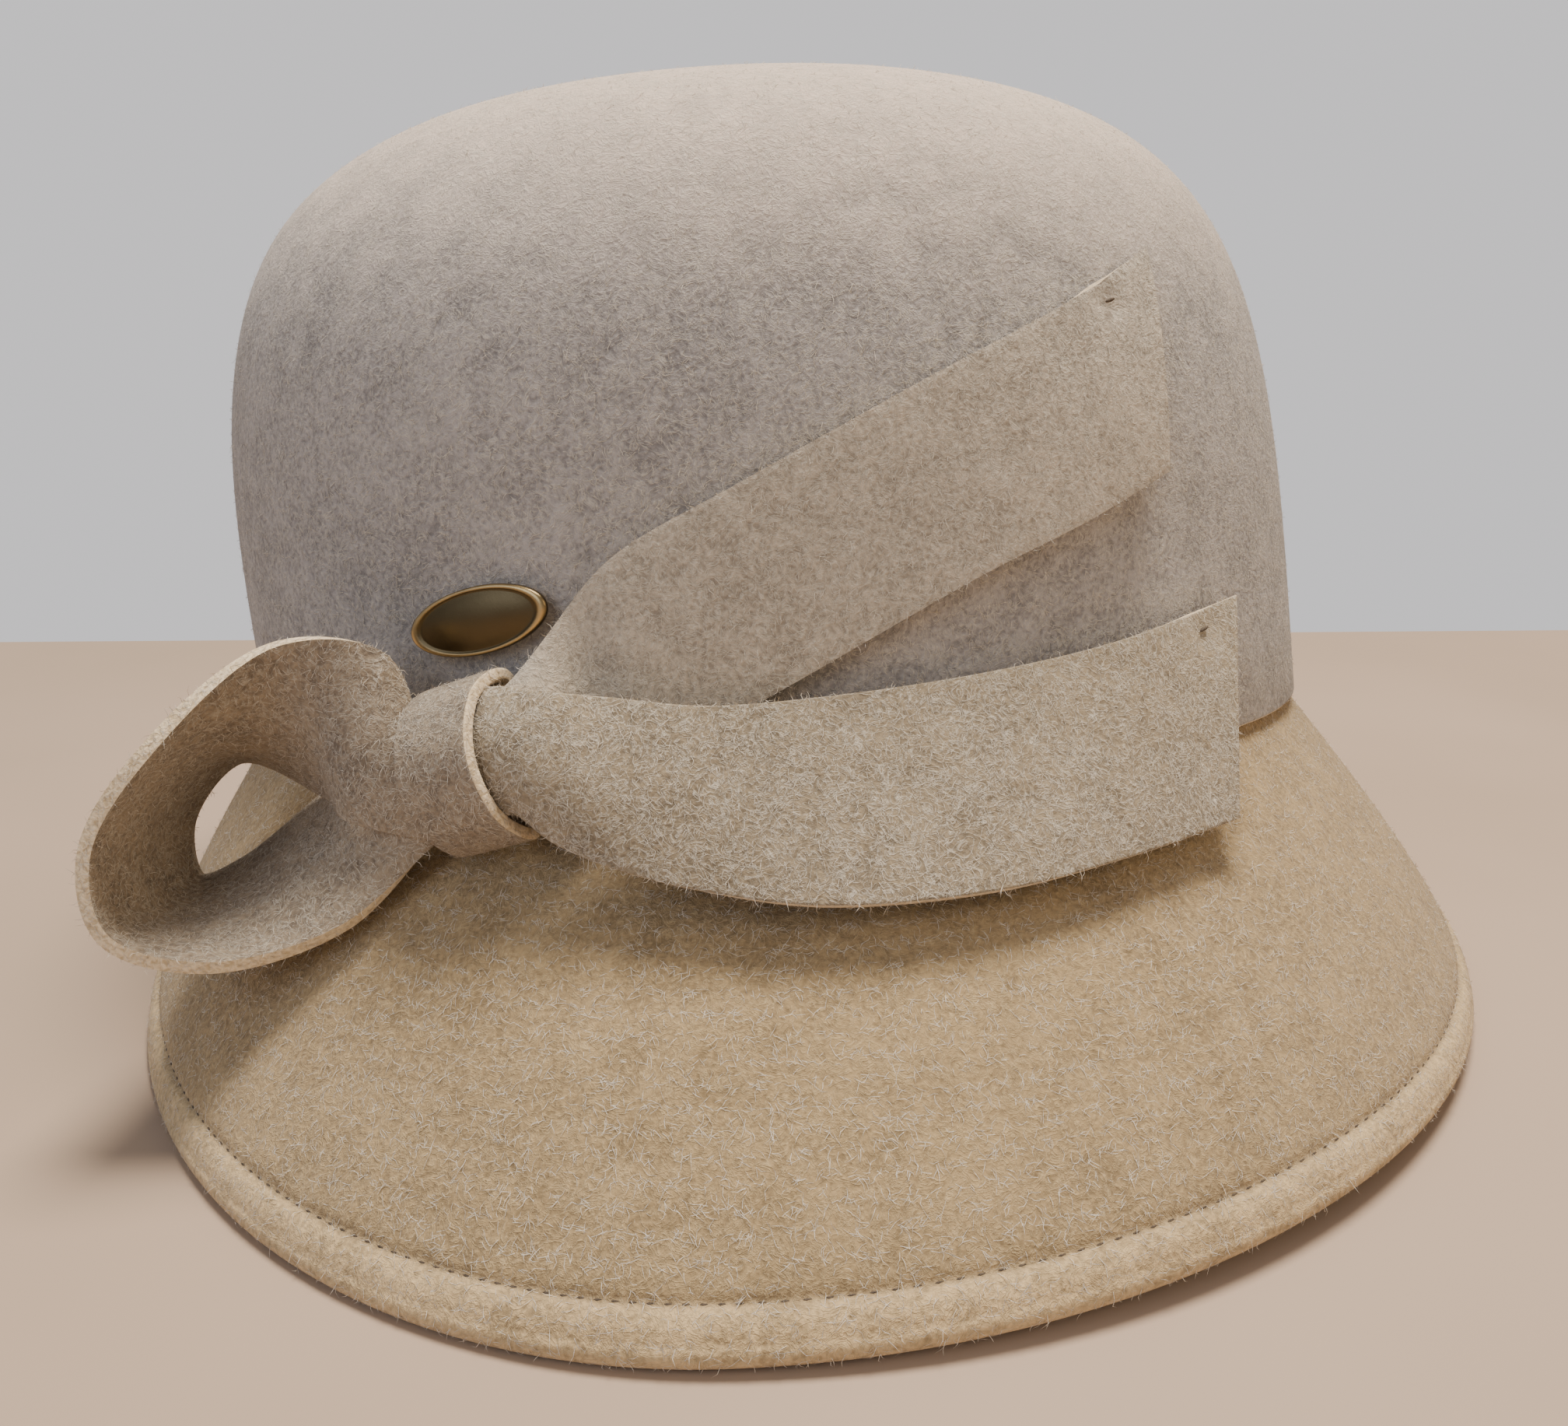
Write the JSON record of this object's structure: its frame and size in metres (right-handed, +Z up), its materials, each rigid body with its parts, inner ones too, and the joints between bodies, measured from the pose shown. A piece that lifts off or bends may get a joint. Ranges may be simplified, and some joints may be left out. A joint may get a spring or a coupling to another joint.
{
  "type": "cloche hat",
  "caption": "Blocked wool-felt cloche hat with a flared, turned-under brim, a one-loop felt bow with crossing tails on one side and a small oval metal badge.",
  "frame": {"origin": "on the table, under the middle of the hat's bounding box", "axes": "+X to the front of the hat, +Z up, -Y to the side that carries the bow (the wearer's right)"},
  "size_m": [0.254, 0.2683, 0.1563],
  "materials": {
    "crown": "marled greige wool felt, matt, with a short nap",
    "brim": "marled beige wool felt, matt, with a lighter stitched hem",
    "bow_loop": "marled greige wool felt, matt, cut edges paler",
    "bow_knot": "marled greige wool felt, matt, cut edges paler",
    "upper_tail": "marled greige wool felt, matt, cut edges paler",
    "lower_tail": "marled greige wool felt, matt, cut edges paler",
    "badge": "dark antique brass, polished, bare face"
  },
  "bodies": {
    "root": {"crown": "crown", "brim": "brim", "bow_loop": "bow_loop", "bow_knot": "bow_knot", "upper_tail": "upper_tail", "lower_tail": "lower_tail", "badge": "badge"}
  },
  "joints": []
}
